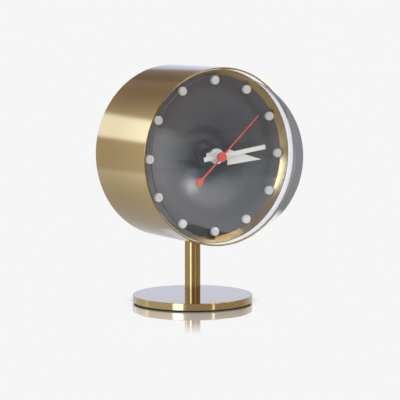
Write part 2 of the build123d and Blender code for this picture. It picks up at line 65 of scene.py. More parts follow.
# %% Camera
azimuth, elevation = radians(-32.154), radians(6.148)
distance, focal_pixels, image_pixels, sensor_width = 1.064706, 1773.804, 400, 36.0
aim_height, slide_right, slide_up = 0.090413, 0.004462, -0.028081
toward_camera = Vector((sin(azimuth) * cos(elevation), -cos(azimuth) * cos(elevation), sin(elevation)))
camera_right = Vector((cos(azimuth), sin(azimuth), 0))
camera_up = toward_camera.cross(camera_right)
camera = bpy.data.objects.new("camera", bpy.data.cameras.new("camera"))
scene.collection.objects.link(camera)
camera.location = (Vector((0, 0, aim_height)) + distance * toward_camera
                   + slide_right * camera_right + slide_up * camera_up)
camera.rotation_euler = (-toward_camera).to_track_quat("-Z", "Y").to_euler()
camera.data.sensor_width = sensor_width
camera.data.lens = focal_pixels / image_pixels * sensor_width
scene.camera = camera
print("lens", round(camera.data.lens, 1), "mm")

# %% [markdown]
# ## Shader arithmetic
# A finish is easier to read when its maths looks like maths. Nodes could be added and linked one by one, but
# a page of links hides the idea. So one small class wraps an output socket, and Python's operators on it add
# Math nodes.


# %% Signals
class Signal:
    """An output socket; arithmetic on it adds Math nodes to the same finish."""

    def __init__(self, finish, socket):
        self.finish = finish
        self.socket = socket

    def math(self, operation, first, second):
        return self.finish.node("ShaderNodeMath", {"operation": operation}, {0: first, 1: second})

    def __add__(self, other):
        return self.math("ADD", self, other)

    def __sub__(self, other):
        return self.math("SUBTRACT", self, other)

    def __rsub__(self, other):
        return self.math("SUBTRACT", other, self)

    def __mul__(self, other):
        return self.math("MULTIPLY", self, other)

    def __pow__(self, other):
        return self.math("POWER", self, other)

    __radd__ = __add__
    __rmul__ = __mul__


print("signals can add, subtract, multiply and take powers")

# %% [markdown]
# A second class holds the material. One method adds any node, and the others are short names for the nodes
# that come up often. A colour ramp keeps 256 steps between 0 and 1, so a change within less than 0.004 is
# softened to about that width.


# %% Finishes
class Finish:
    """A material, or the world, while its nodes are being laid out."""

    def __init__(self, name, owner=None):
        self.owner = owner or bpy.data.materials.new(name)
        self.owner.use_nodes = True
        self.tree = self.owner.node_tree
        self.tree.nodes.clear()

    def node(self, kind, settings=None, inputs=None, output=0):
        """Add one node: its settings first, then the values or signals of its sockets."""
        made = self.tree.nodes.new(kind)
        for name, value in (settings or {}).items():
            if name == "stops":
                ramp = made.color_ramp.elements
                while len(ramp) < len(value):
                    ramp.new(1)
                for element, (position, shade) in zip(ramp, value):
                    element.position = position
                    element.color = (shade, shade, shade, 1)
            else:
                setattr(made, name, value)
        for name, value in (inputs or {}).items():
            if isinstance(value, Signal):
                self.tree.links.new(value.socket, made.inputs[name])
            else:
                made.inputs[name].default_value = value
        return Signal(self, made.outputs[output]) if made.outputs else None

    def place(self, stretch=(1, 1, 1)):
        """Object coordinates, stretched along each axis."""
        coordinates = self.node("ShaderNodeTexCoord", output="Object")
        return self.node("ShaderNodeMapping", {"vector_type": "POINT"},
                         {"Vector": coordinates, "Scale": stretch})

    def noise(self, stretch, detail=2.0, rough=0.5):
        """Noise from 0 to 1, with its grain set by the stretch, in cycles a metre."""
        return self.node("ShaderNodeTexNoise", {"normalize": True},
                         {"Vector": self.place(stretch), "Scale": 1.0, "Detail": detail, "Roughness": rough})

    def vector(self, operation, *inputs, output=0):
        """Vector Math; a length or a dot product is its output 1."""
        return self.node("ShaderNodeVectorMath", {"operation": operation}, dict(enumerate(inputs)), output)

    def part(self, vector, axis):
        """One of a vector's three numbers."""
        return self.node("ShaderNodeSeparateXYZ", None, {0: vector}, output=axis)

    def facing(self):
        """Nothing where the surface faces the viewer, one where it is seen edge on."""
        return self.node("ShaderNodeLayerWeight", None, {"Blend": 0.5}, output="Facing")

    def ramp(self, signal, *stops):
        """A line of straight runs through pairs of position and value."""
        return self.node("ShaderNodeValToRGB", {"stops": stops}, {0: signal})

    def blend(self, share, first, second):
        """Mix two colours."""
        return self.node("ShaderNodeMix", {"data_type": "RGBA"}, {0: share, 6: first, 7: second}, output=2)

    def layer(self, share, first, second):
        """Mix two shaders."""
        return self.node("ShaderNodeMixShader", None, {0: share, 1: first, 2: second})

    def bump(self, height, depth):
        """A relief of the given depth, in metres."""
        return self.node("ShaderNodeBump", None, {"Height": height, "Distance": depth, "Strength": 1.0})

    def paint(self, **sockets):
        """Finish with one Principled shader, sockets named with underscores for spaces."""
        inputs = {name.replace("_", " "): value for name, value in sockets.items()}
        return self.close(self.node("ShaderNodeBsdfPrincipled", None, inputs))

    def close(self, shader):
        """Send a shader to the output and hand back the material."""
        of_world = isinstance(self.owner, bpy.types.World)
        kind = "ShaderNodeOutputWorld" if of_world else "ShaderNodeOutputMaterial"
        self.node(kind, None, {"Surface": shader})
        return self.owner


print("finish helpers ready")

# %% [markdown]
# ## Light and floor
# Brushed metal shows its surroundings more than its own colour. A studio could be built round the clock,
# wall by wall, but a few ramps over the direction of view do the same in the world's shader. Floor and
# horizon read as white. Metal and glass see that white too, but a darker, warmer room overhead, high on the
# right and in front.


# %% What is looking
def path(finish, name):
    """One of the Light Path answers: what kind of ray is looking."""
    return finish.node("ShaderNodeLightPath", output=name)


def larger(finish, first, second):
    """The larger of two signals."""
    return finish.node("ShaderNodeMath", {"operation": "MAXIMUM"}, {0: first, 1: second})


def mirrored(finish):
    """One for rays from a mirror or through glass."""
    return larger(finish, path(finish, "Is Glossy Ray"), path(finish, "Is Transmission Ray"))


print("light path helpers ready")

# %% World
background_white, ambient_light, dark_room = 0.92, 0.5, 0.32
plain_white, room_tint = (1, 1, 1, 1), (1.0, 0.80, 0.65, 1)
front_direction, front_share = (0.31, -0.95, 0), 0.7
world = Finish("studio", bpy.data.worlds.new("studio"))
scene.world = world.owner

look = world.node("ShaderNodeTexCoord", output="Generated")
look_up = world.part(look, "Z")
look_right = world.part(look, "X")
look_front = world.vector("DOT_PRODUCT", look, front_direction, output=1)
overhead = world.ramp(look_up, (0.355, 0.0), (0.40, 0.2), (0.48, 0.55), (0.535, 1.0))
in_front = world.ramp(look_front, (0.1, 0.0), (0.55, 1.0))
on_right = world.ramp(look_right, (0.0, 0.0), (0.2, 1.0))
high_up = world.ramp(look_up, (0.25, 0.0), (0.31, 0.85), (0.5, 1.0))
shade = larger(world, larger(world, overhead, on_right * high_up), front_share * in_front)
mirror_level = background_white - (background_white - dark_room) * shade
is_camera = path(world, "Is Camera Ray")
is_mirrored = mirrored(world) * (1 - is_camera)
level = (background_white * is_camera + mirror_level * is_mirrored
         + ambient_light * (1 - is_camera - is_mirrored))
room_colour = world.blend(shade * is_mirrored, plain_white, room_tint)
world.close(world.node("ShaderNodeBackground", None, {"Color": room_colour, "Strength": level}))
print("world set, from", dark_room, "to", background_white)

# %% [markdown]
# The clock stands on a pale polished table. More light would turn a floor white too, but it would bleach the
# clock with it, so the floor's own shader is white to the camera and keeps a shadow close to the foot,
# deepened by painted shade under the foot's edge. On the camera's side of the foot it is polished: at a
# grazing angle it mirrors foot and stem, and the mirror fades outwards. Metal sees the floor with a painted
# shadow under the drum and painted shade before the dial.


# %% Stage helpers
def card(name, corners, placed, finish):
    """A flat card of the stage, from the corners of its outline."""
    shape = bmesh.new()
    shape.faces.new([shape.verts.new((x, y, 0)) for x, y in corners])
    bmesh.ops.transform(shape, matrix=placed, verts=shape.verts)
    mesh = bpy.data.meshes.new(name)
    shape.to_mesh(mesh)
    shape.free()
    mesh.materials.append(finish)
    made = bpy.data.objects.new(name, mesh)
    scene.collection.objects.link(made)
    print(name, "set with", len(corners), "corners")


def oblong(half_width, low, high):
    """The corners of an oblong that is as wide to the left as to the right."""
    return [(-half_width, low), (half_width, low), (half_width, high), (-half_width, high)]


print("stage helpers ready")

# %% Polish of the floor
seen_gain, seen_power, metal_gain, metal_power = 32.0, 20.0, 4.2, 10.0
floor_gloss = 0.03
ramp_shift = 0.5  # keeps a ramp's input above zero
square_decimetres = 100
floor_finish = Finish("pale_floor")
floor_place = floor_finish.place()
floor_radius = floor_finish.vector("LENGTH", floor_place, output=1)
camera_side = floor_finish.vector("DOT_PRODUCT", floor_place, toward_camera, output=1)
sideways = floor_finish.vector("DOT_PRODUCT", floor_place, camera_right, output=1)
floor_facing = floor_finish.facing()
by_camera = path(floor_finish, "Is Camera Ray")
by_mirror = mirrored(floor_finish) * (1 - by_camera)
polished = (floor_finish.ramp(floor_radius, (0.0, 1.0), (0.072, 0.94), (0.108, 0.0))
            * floor_finish.ramp(camera_side + ramp_shift, (0.48, 0.0), (0.5, 1.0))
            * floor_finish.ramp(square_decimetres * sideways * sideways, (0.2, 1.0), (0.3, 0.0)))
seen_share = seen_gain * floor_facing ** seen_power * polished
near_clock = floor_finish.ramp(floor_radius, (0.0, 1.0), (0.3, 1.0), (0.5, 0.0))
metal_share = metal_gain * floor_facing ** metal_power * near_clock
mirror_share = seen_share * by_camera + metal_share * by_mirror
mirror_floor = floor_finish.node("ShaderNodeBsdfGlossy", None,
                                 {"Color": plain_white, "Roughness": floor_gloss})
print("floor polished before the foot")

# %% Floor
contact_shade, pale_grey = (0.10, 0.085, 0.07, 1), (0.85, 0.85, 0.85, 1)
floor_half, floor_roughness = 6.0, 0.9
open_floor = floor_finish.ramp(floor_radius, (0.03516, 0.0), (0.03906, 0.626), (0.04297, 0.948), (0.06, 1.0))
beside_foot = floor_finish.ramp(floor_radius, (0.03516, 0.0), (0.03906, 0.724), (0.04297, 1.0))
# Painted shadow and shade: seen in mirrors, the floor glows darker under the drum and before the dial.
painted_shadow_below_drum = floor_finish.ramp(floor_radius, (0.05, 0.7), (0.22, 1.0))
floor_depth = floor_finish.part(floor_place, "Y")
painted_shade_before_dial = floor_finish.ramp(floor_depth + ramp_shift, (0.2, 0.58), (0.45, 1.0))
floor_level = background_white * (by_camera + by_mirror * painted_shadow_below_drum * painted_shade_before_dial)
white_floor = floor_finish.node("ShaderNodeEmission", None, {"Color": floor_level, "Strength": 1.0})
# Painted shade: the floor's colour turns dark just under the foot's edge, for the contact line.
floor_paint_and_shade = floor_finish.blend(beside_foot, contact_shade, pale_grey)
lit_floor = floor_finish.node("ShaderNodeBsdfPrincipled", None,
                              {"Base Color": floor_paint_and_shade, "Roughness": floor_roughness})
plain_floor = floor_finish.layer((by_camera + by_mirror) * open_floor, lit_floor, white_floor)
pale_floor = floor_finish.close(floor_finish.layer(mirror_share, plain_floor, mirror_floor))
card("floor", oblong(floor_half, -floor_half, floor_half), Matrix.Identity(4), pale_floor)

# %% [markdown]
# Polished metal at a grazing angle is nearly a mirror, so the foot's top and the drum's upper edge take the
# colour of what stands behind them. Paint of that colour would look wrong from other sides, so two blue-white
# cards stand there, seen only in mirrors and only from the front. The lower card ends in an arch, so it fills
# the foot's top and shows nowhere on the floor.

# %% Cards
card_blue, card_level = (0.708, 0.775, 1.0, 1), 1.29
card_finish = Finish("blue_white_card")
card_glow = card_finish.node("ShaderNodeEmission", None, {"Color": card_blue, "Strength": card_level})
card_clear = card_finish.node("ShaderNodeBsdfTransparent")
card_front = 1 - card_finish.node("ShaderNodeNewGeometry", output="Backfacing")
in_mirrors = path(card_finish, "Is Glossy Ray") * card_front
blue_white = card_finish.close(card_finish.layer(in_mirrors, card_clear, card_glow))

behind = Vector((-toward_camera.x, -toward_camera.y, 0)).normalized()
upright = (-behind).to_track_quat("Z", "Y").to_matrix().to_4x4()
foot_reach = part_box("base_disc")[1].x
card_overhang, card_gap = 0.001, 0.0023
foot_card_half, foot_card_far = foot_reach + card_overhang, foot_reach + card_gap
foot_card_low, arch_start, arch_rise, arch_step = 0.003, 0.0114, 0.0060, 10
foot_card = [(-foot_card_half, foot_card_low), (foot_card_half, foot_card_low)]
for turned in range(0, 181, arch_step):
    foot_card.append((foot_card_half * cos(radians(turned)), arch_start + arch_rise * sin(radians(turned))))
drum_card_half, drum_card_low, drum_card_high, drum_card_far = 0.25, 0.135, 0.305, 0.5
drum_card = oblong(drum_card_half, drum_card_low, drum_card_high)
card("card_behind_foot", foot_card, Matrix.Translation(foot_card_far * behind) @ upright, blue_white)
card("card_behind_drum", drum_card, Matrix.Translation(drum_card_far * behind) @ upright, blue_white)

# %% [markdown]
# A broad panel behind on the left gives the pale band along the drum. A box on the left and a narrow strip
# draw the bright lines on foot, stem and ring, and the boxes on the right and above light dial and hands.
# Each lamp is given as the direction it comes from, its distance, width, height and brightness. A brightness
# of 1 looks as white as paper, and the power that Blender asks for follows from the lamp's area. The dome is
# left out of their light later on, so no lamp's picture stands on it.

# %% Lamps
lit_by_lamps = bpy.data.collections.new("lit_by_lamps")
window_blue, daylight = (0.50, 0.68, 1.0), (0.75, 0.87, 1.0)


def lamp(name, direction, far, width, height, brightness, tint=(1, 1, 1)):
    """A rectangular lamp that faces the drum from the given direction."""
    data = bpy.data.lights.new(name, "AREA")
    data.shape = "RECTANGLE"
    data.size, data.size_y = width, height
    data.color = tint
    data.energy = brightness * pi * width * height
    made = bpy.data.objects.new(name, data)
    made.location = Vector((0, 0, aim_height)) + far * Vector(direction).normalized()
    made.rotation_euler = Vector(direction).to_track_quat("Z", "Y").to_euler()
    made.light_linking.receiver_collection = lit_by_lamps
    scene.collection.objects.link(made)


lamp("panel_behind_left", (-0.45, 0.842, 0.25), 1.7, 1.7, 0.42, 2.7, window_blue)
lamp("box_left", (-0.860, -0.510, 0.30), 1.4, 0.48, 0.80, 7.5, window_blue)
lamp("strip_right", (0.138, -0.99, 0.35), 1.5, 0.06, 0.9, 6.0, daylight)
lamp("box_front_right", (0.5, -0.8, 0.42), 1.7, 1.1, 0.6, 3.0)
lamp("spot_right", (0.81, -0.516, 0.282), 1.3, 0.22, 0.22, 17.0)
lamp("box_above", (0.45, -0.15, 0.85), 1.4, 0.9, 0.9, 2.0)

# %% [markdown]
# ## Brass
# Drum, stem and ring are satin brass. Brushing leaves lines that run round the turned axis. They could be cut
# as grooves, but they are finer than any mesh, so the grain is noise stretched long round the piece and fine
# along it. The tint of the metal's edge decides what it turns to at a grazing angle: pale on drum, ring and
# foot, darker on the stem. The drum's colour is painted lighter towards its mouth: painted light.

# %% Brass finishes
brass_deep, brass_light = (0.315, 0.212, 0.082, 1), (0.375, 0.262, 0.110, 1)
brass_bright = (0.47, 0.335, 0.15, 1)
pale_edge, dark_edge = (0.92, 0.95, 1.0, 1), (0.62, 0.52, 0.38, 1)
cloud_grain = (18, 18, 18)
line_share, roughness_swing = 0.75, 0.12
behind_drum = 0.04


def brushed_brass(name, stretch, roughness, depth, edge_tint, mouth_light=0.0):
    """Brass with brush lines across the finest stretch; the last argument paints it lighter towards the drum's
    mouth, as painted light.
    """
    brass = Finish(name)
    lines = brass.noise(stretch, detail=3.0, rough=0.6)
    clouds = brass.noise(cloud_grain)
    tone = brass.ramp(line_share * lines + (1 - line_share) * clouds, (0.25, 0.0), (0.75, 1.0))
    colour = brass.blend(tone, brass_deep, brass_light)
    # Painted light: towards the drum's mouth the brass colour turns lighter.
    if mouth_light:
        from_behind = behind_drum - brass.part(brass.place(), "Y")
        painted_light = mouth_light * brass.ramp(from_behind, (0.036, 0.0), (0.072, 1.0))
        colour = brass.blend(painted_light, colour, brass_bright)
    return brass.paint(Base_Color=colour, Metallic=1.0,
                       Roughness=roughness - roughness_swing / 2 + roughness_swing * lines,
                       Normal=brass.bump(lines, depth), Specular_Tint=edge_tint)


drum_brass = brushed_brass("brass_brushed_drum", (12, 9000, 12), roughness=0.13, depth=0.000006,
                           edge_tint=pale_edge, mouth_light=0.65)
upright_brass = brushed_brass("brass_brushed_stem", (20, 20, 9000), roughness=0.15, depth=0.0000003,
                              edge_tint=dark_edge)
ring_brass = brushed_brass("brass_ring", (30, 5000, 30), roughness=0.2, depth=0.000006,
                           edge_tint=pale_edge)
print("brushed:", drum_brass.name, upright_brass.name, ring_brass.name)

# %% [markdown]
# The foot is brighter brass. Its top is faced on a lathe, so straight brush lines would look wrong on it. Its
# lines are circles about the stem: noise over the distance from the axis alone. The upright side is a little
# rougher, which softens the lamps' pictures.

# %% Turned brass of the foot
foot_deep, foot_light = (0.41, 0.295, 0.130, 1), (0.49, 0.36, 0.17, 1)
lathe_cycles, lathe_depth = 4000, 0.000001
foot_gloss, lathe_swing, side_roughness = 0.04, 0.04, 0.07
foot = Finish("brass_turned_foot")
lathe_radius = foot.vector("LENGTH", foot.place((1, 1, 0)), output=1)
lathe_grain = foot.node("ShaderNodeCombineXYZ", None, {"X": lathe_cycles * lathe_radius})
lathe_lines = foot.node("ShaderNodeTexNoise", {"normalize": True},
                        {"Vector": lathe_grain, "Scale": 1.0, "Detail": 2.0})
foot_up = foot.part(foot.node("ShaderNodeNewGeometry", output="Normal"), "Z")
foot_side = foot.ramp(foot_up, (0.3, 1.0), (0.6, 0.0))
foot_colour = foot.blend(foot.ramp(lathe_lines, (0.3, 0.0), (0.7, 1.0)), foot_deep, foot_light)
foot_brass = foot.paint(Base_Color=foot_colour, Metallic=1.0,
                        Roughness=foot_gloss + lathe_swing * lathe_lines + side_roughness * foot_side,
                        Normal=foot.bump(lathe_lines, lathe_depth), Specular_Tint=pale_edge)
print("turned:", foot_brass.name)

# %% [markdown]
# ## Turning shapes
# Nearly every piece here is turned, so a few points of its outline, spun about an axis, give the whole shell.
# Cylinders could be joined and cut instead, but a spun outline has no seams to clean. Outlines are in
# millimetres in the drum's own frame, with height counted forward along the dial axis.

# %% Measures from the frame
millimetre = 0.001


def span(node):
    """A node's radius about the dial axis, and its rear and front heights, in millimetres."""
    low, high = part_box(node)
    return (high.x - low.x) / 2 / millimetre, -high.y / millimetre, -low.y / millimetre


drum_low, drum_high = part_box("drum_case")
axis_height = (drum_low.z + drum_high.z) / 2
drum_frame = (Matrix.Translation((0, 0, axis_height)) @ Matrix.Rotation(radians(90), 4, "X")
              @ Matrix.Scale(millimetre, 4))
table_frame = Matrix.Scale(millimetre, 4)
print("dial axis", round(axis_height / millimetre, 2), "mm above the table")

# %% Lathe helpers
round_steps, merge_distance = 192, 0.0005
sharp_angle, smooth_angle = radians(35), radians(12)


def trace(shape, points):
    """Join points of radius and height by straight edges; returns the vertices."""
    verts = [shape.verts.new((radius, 0, height)) for radius, height in points]
    for first, second in zip(verts, verts[1:]):
        shape.edges.new((first, second))
    return verts


def sweep_arc(shape, vert, centre, angle, steps):
    """Swing one vertex about a centre of radius and height, leaving an arc of edges; returns its end."""
    swung = bmesh.ops.spin(shape, geom=[vert], cent=(centre[0], 0, centre[1]), axis=(0, -1, 0),
                           angle=angle, steps=steps)
    return swung["geom_last"][0]


def turn(shape):
    """Spin the traced outline right round, and close its seam and poles."""
    bmesh.ops.spin(shape, geom=shape.verts[:] + shape.edges[:], cent=(0, 0, 0), axis=(0, 0, 1),
                   angle=2 * pi, steps=round_steps, use_merge=True)
    bmesh.ops.remove_doubles(shape, verts=shape.verts, dist=merge_distance)
    bmesh.ops.recalc_face_normals(shape, faces=shape.faces)


def ease(shape, width, segments=3):
    """Round the sharp edges."""
    sharp = [edge for edge in shape.edges
             if len(edge.link_faces) == 2 and edge.calc_face_angle(0) > sharp_angle]
    bmesh.ops.bevel(shape, geom=sharp, offset=width, affect="EDGES", segments=segments, profile=0.5,
                    material=-1, clamp_overlap=True)


print("lathe turns in", round_steps, "steps")


# %% Placing helper
def piece(name, shape, placed, finishes, body, slot, *nodes):
    """Put a finished shape in its place as an object that stands for its CAD nodes."""
    bmesh.ops.transform(shape, matrix=placed, verts=shape.verts)
    mesh = bpy.data.meshes.new(name)
    shape.to_mesh(mesh)
    shape.free()
    mesh.shade_smooth()
    mesh.set_sharp_from_angle(angle=smooth_angle)
    for finish in finishes:
        mesh.materials.append(finish)
    made = bpy.data.objects.new(name, mesh)
    scene.collection.objects.link(made)
    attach(made, body)
    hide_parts(*nodes)
    print(name, len(mesh.polygons), "faces")
    return made


print("placing helper ready")

# %% [markdown]
# ## Drum and ring
# The drum is a thin brass tube. It could be a cylinder with a thickness modifier, but its rims need care, so
# its wall is turned from four points and the corners are rounded a little, to catch the light.

# %% Drum
drum_radius, drum_rear, drum_front = span("drum_case")
drum_wall, rim_ease = 0.8, 0.14
drum_inner = drum_radius - drum_wall
shape = bmesh.new()
outline = [(drum_inner, drum_rear), (drum_radius, drum_rear),
           (drum_radius, drum_front), (drum_inner, drum_front)]
trace(shape, outline + outline[:1])
turn(shape)
ease(shape, rim_ease)
piece("drum_shell", shape, drum_frame, [drum_brass], "case", "brass", "drum_case")

# %% [markdown]
# The ring behind the lens frames the dial. Its bore flares towards the front, so its outline has four points
# with the front one further out, and no cone has to be cut from a tube.

# %% Ring
ring_outer, ring_rear, ring_front = span("bezel_ring")
flare_rear, flare_front, ring_ease = 47.7, 50.9, 0.1
shape = bmesh.new()
outline = [(flare_rear, ring_rear), (ring_outer, ring_rear),
           (ring_outer, ring_front), (flare_front, ring_front)]
trace(shape, outline + outline[:1])
turn(shape)
ease(shape, ring_ease)
piece("lens_ring", shape, drum_frame, [ring_brass], "case", "brass", "bezel_ring")

# %% [markdown]
# ## Foot and stem
# The foot is a flat brass disc. A cylinder would do for its shape, but the same lathe gives it the eased rim
# that draws a thin bright line.

# %% Foot
foot_low, foot_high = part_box("base_disc")
foot_radius, foot_ease = foot_high.x / millimetre, 0.3
foot_bottom, foot_top = foot_low.z / millimetre, foot_high.z / millimetre
shape = bmesh.new()
trace(shape, [(0, foot_bottom), (foot_radius, foot_bottom), (foot_radius, foot_top), (0, foot_top)])
turn(shape)
ease(shape, foot_ease)
piece("foot_disc", shape, table_frame, [foot_brass], "case", "brass", "base_disc")
print("foot radius", round(foot_radius, 2))

# %% [markdown]
# The stem is a round bar whose top is hollowed to fit the drum. A boolean cut would leave ragged faces, so a
# short stub is turned and each point of its top is lifted until it meets the drum.

# %% Stem
stem_low, stem_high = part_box("stem")
stem_radius, stem_bottom = stem_high.x / millimetre, stem_low.z / millimetre
stub_top = stem_bottom + 1
shape = bmesh.new()
trace(shape, [(0, stem_bottom), (stem_radius, stem_bottom), (stem_radius, stub_top), (0, stub_top)])
turn(shape)
for vert in shape.verts:
    if vert.co.z > (stem_bottom + stub_top) / 2:
        vert.co.z = axis_height / millimetre - (drum_radius ** 2 - vert.co.x ** 2) ** 0.5
piece("stem_bar", shape, table_frame, [upright_brass], "case", "brass", "stem")

# %% [markdown]
# ## Dial
# The dial is painted with satin grey that is nearly black. A flat grey would look like plastic, so fine
# speckle varies its gloss and relief, and the dome in front adds a soft veil to it.

# %% Dial finish
dial_dark, dial_pale = (0.042, 0.043, 0.048, 1), (0.054, 0.056, 0.062, 1)
dial_gloss, speckle_swing, speckle_depth, speckle_share = 0.23, 0.04, 0.0000012, 0.6
speckle_grain, haze_grain = (5200, 5200, 5200), (22, 22, 22)
dial = Finish("dial_satin_grey")
speckle = dial.noise(speckle_grain)
haze = dial.noise(haze_grain)
dial_tone = dial.blend(speckle_share * speckle + (1 - speckle_share) * haze, dial_dark, dial_pale)
dial_paint = dial.paint(Base_Color=dial_tone, Roughness=dial_gloss + speckle_swing * speckle,
                        Normal=dial.bump(speckle, speckle_depth))
print("painted:", dial_paint.name)

# %% [markdown]
# Its shape is spun sheet: flat under the dots, then one long arc that falls away to the centre. The CAD solid
# has the same form, but its facets could show in the gloss, so both faces are traced with fine arcs and
# turned again.

# %% Dial shell
dial_radius, dial_back, dial_front = span("dial")
dial_flat_radius, dial_pit_radius, dial_bore = 46.0, 7.0, 4.05
dial_thickness, face_steps, rear_steps = 0.8, 40, 20
dial_pit = dial_back + dial_thickness
dial_drop = dial_front - dial_pit


def bell(shape, height, steps):
    """Trace the arc that leaves the flat rim and falls to the centre; returns its ends."""
    run = dial_flat_radius - dial_pit_radius
    arc_radius = (run ** 2 + dial_drop ** 2) / (2 * dial_drop)
    start = shape.verts.new((dial_flat_radius, 0, height))
    end = sweep_arc(shape, start, (dial_flat_radius, height - arc_radius), 2 * atan2(dial_drop, run), steps)
    return start, end


shape = bmesh.new()
face_start, face_end = bell(shape, dial_front, face_steps)
rear_start, rear_end = bell(shape, dial_front - dial_thickness, rear_steps)
rim_front, rim_rear = trace(shape, [(dial_radius, dial_front), (dial_radius, dial_front - dial_thickness)])
bore_front, bore_rear = trace(shape, [(dial_bore, dial_pit), (dial_bore, dial_back)])
for ends in ((rim_front, face_start), (rim_rear, rear_start), (face_end, bore_front), (rear_end, bore_rear)):
    shape.edges.new(ends)
turn(shape)
piece("dial_face", shape, drum_frame, [dial_paint], "case", "dial", "dial")

# %% [markdown]
# ## Dots and hands
# The dots are small studs with a soft edge, one for each hour. Twelve cones with equal ends, set out by a
# loop, stay separate bodies in one piece. Dots and two of the hands share a warm white paint with a fine
# grain, and the second hand has the same kind of paint in red.

# %% Paint of dots and hands
enamel_swing = 0.12


def enamel(name, deep, pale, grain, roughness, depth):
    """Paint whose tone, gloss and relief follow one fine grain."""
    coat = Finish(name)
    grains = coat.noise((grain, grain, grain), detail=3.0)
    return coat.paint(Base_Color=coat.blend(grains, deep, pale), Roughness=roughness + enamel_swing * grains,
                      Normal=coat.bump(grains, depth))


white_deep, white_pale = (0.655, 0.63, 0.545, 1), (0.73, 0.705, 0.62, 1)
red_deep, red_pale = (0.63, 0.060, 0.030, 1), (0.72, 0.082, 0.044, 1)
white_paint = enamel("warm_white_paint", white_deep, white_pale, grain=2600, roughness=0.4, depth=0.000004)
red_paint = enamel("coral_red_paint", red_deep, red_pale, grain=2400, roughness=0.35, depth=0.000003)
print("painted:", white_paint.name, red_paint.name)

# %% Dots
dot_circle, dot_radius, dot_height, dot_ease = 44.7, 2.6, 2.6, 0.5
dot_sides, dot_ease_steps = 40, 8
shape = bmesh.new()
for hour in range(12):
    angle = radians(30 * hour)
    spot = Matrix.Translation((dot_circle * cos(angle), dot_circle * sin(angle), dial_front + dot_height / 2))
    bmesh.ops.create_cone(shape, cap_ends=True, segments=dot_sides, radius1=dot_radius, radius2=dot_radius,
                          depth=dot_height, matrix=spot)
ease(shape, dot_ease, dot_ease_steps)
piece("hour_studs", shape, drum_frame, [white_paint], "case", "pale", "hour_dots")

# %% [markdown]
# A hand is a flat plate stamped from sheet, on a round boss that grips its arbor. Each is drawn pointing to
# twelve, because that is easy to measure, and then turned to its hour. Plate and boss are eased apart and
# then joined, so each keeps its own soft edge.

# %% Hand helpers
hand_sheet, boss_step, boss_sides = 0.5, 0.04, 48
plate_ease, plate_ease_steps = 0.08, 2


def plate(shape, points, low, high):
    """A flat plate with straight sides."""
    face = shape.faces.new([shape.verts.new((x, y, low)) for x, y in points])
    raised = bmesh.ops.extrude_face_region(shape, geom=[face])
    verts = [item for item in raised["geom"] if isinstance(item, bmesh.types.BMVert)]
    bmesh.ops.translate(shape, vec=(0, 0, high - low), verts=verts)
    bmesh.ops.recalc_face_normals(shape, faces=shape.faces)
    ease(shape, plate_ease, plate_ease_steps)


def boss(shape, radius, depth, front):
    """A round boss on the dial axis."""
    bmesh.ops.create_cone(shape, cap_ends=True, segments=boss_sides, radius1=radius, radius2=radius,
                          depth=depth, matrix=Matrix.Translation((0, 0, front - depth / 2)))


def join(shape, other):
    """Add another shape to this one."""
    mesh = bpy.data.meshes.new("joined")
    other.to_mesh(mesh)
    other.free()
    shape.from_mesh(mesh)
    bpy.data.meshes.remove(mesh)


def point_to(shape, angle):
    """Turn a hand from twelve clockwise to its place."""
    clockwise = Matrix.Rotation(radians(-angle), 3, "Z")
    bmesh.ops.rotate(shape, cent=(0, 0, 0), matrix=clockwise, verts=shape.verts)


print("hands are cut from", hand_sheet, "mm sheet")

# %% [markdown]
# The hour hand is a short bar that widens in a step to a long wedge. Bar and wedge could be two plates, but
# one outline of seven corners leaves no seam between them.

# %% Hour hand
hour_front = span("hour_hand")[2]
hour_angle, hour_reach, hour_tail, hour_bar, wedge_start, wedge_width = 95.6, 31.2, 7.6, 3.2, 7.4, 9.4
hour_boss, hour_boss_depth, hour_boss_ease = 4.5, 2.4, 0.2
bar, wedge = hour_bar / 2, wedge_width / 2
shape = bmesh.new()
corners = [(-bar, -hour_tail), (bar, -hour_tail), (bar, wedge_start), (wedge, wedge_start),
           (0, hour_reach), (-wedge, wedge_start), (-bar, wedge_start)]
plate(shape, corners, hour_front - hand_sheet, hour_front - boss_step)
boss_shape = bmesh.new()
boss(boss_shape, hour_boss, hour_boss_depth, hour_front)
ease(boss_shape, hour_boss_ease)
join(shape, boss_shape)
point_to(shape, hour_angle)
piece("hour_pointer", shape, drum_frame, [white_paint], "hour", "pale", "hour_hand")

# %% [markdown]
# The minute hand is a plain straight bar, so an oblong serves for its plate. Its boss is smaller and stands
# in front of the hour hand's.

# %% Minute hand
minute_front = span("minute_hand")[2]
minute_angle, minute_reach, minute_tail, minute_bar = 82.1, 32.8, 10.7, 2.7
minute_boss, minute_boss_depth, minute_boss_ease = 3.0, 1.4, 0.15
bar = minute_bar / 2
shape = bmesh.new()
corners = oblong(bar, -minute_tail, minute_reach)
plate(shape, corners, minute_front - hand_sheet, minute_front - boss_step)
boss_shape = bmesh.new()
boss(boss_shape, minute_boss, minute_boss_depth, minute_front)
ease(boss_shape, minute_boss_ease)
join(shape, boss_shape)
point_to(shape, minute_angle)
piece("minute_pointer", shape, drum_frame, [white_paint], "minute", "pale", "minute_hand")

# %% [markdown]
# The second hand is a red needle with a round hub, and a drop on its tail that balances it. The drop starts
# as a disc. Its half towards the hub is drawn out and pinched, which gives a tear without a drawn outline.

